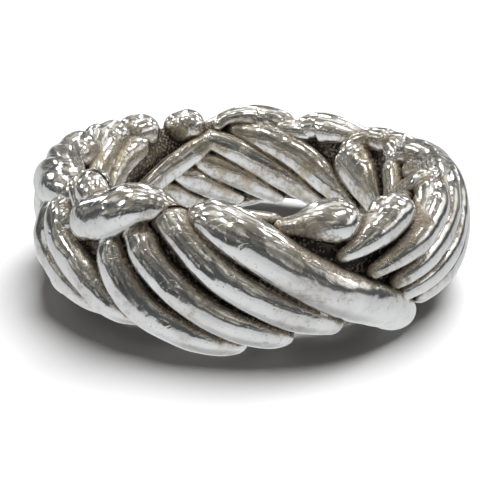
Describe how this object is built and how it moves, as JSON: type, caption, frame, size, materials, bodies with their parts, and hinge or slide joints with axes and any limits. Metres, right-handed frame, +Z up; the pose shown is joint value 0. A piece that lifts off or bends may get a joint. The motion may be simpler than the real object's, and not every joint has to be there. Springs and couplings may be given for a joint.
{
  "type": "woven band ring",
  "caption": "Chunky cast band ring of fat rounded strands that nest, cross and fold over the rims, with the same weave in lower relief inside the finger hole.",
  "frame": {"origin": "centre of the finger hole, on the plane that the ring rests on", "axes": "+Z up along the finger, -Y towards the front, where the thick strand crosses the others, +X to the right seen from the front"},
  "size_m": [0.0263, 0.0262, 0.0081],
  "materials": {
    "silver": "polished silver, oxidised brown to black in the gaps between the strands"
  },
  "bodies": {
    "root": {"woven_band": "silver"}
  },
  "joints": []
}
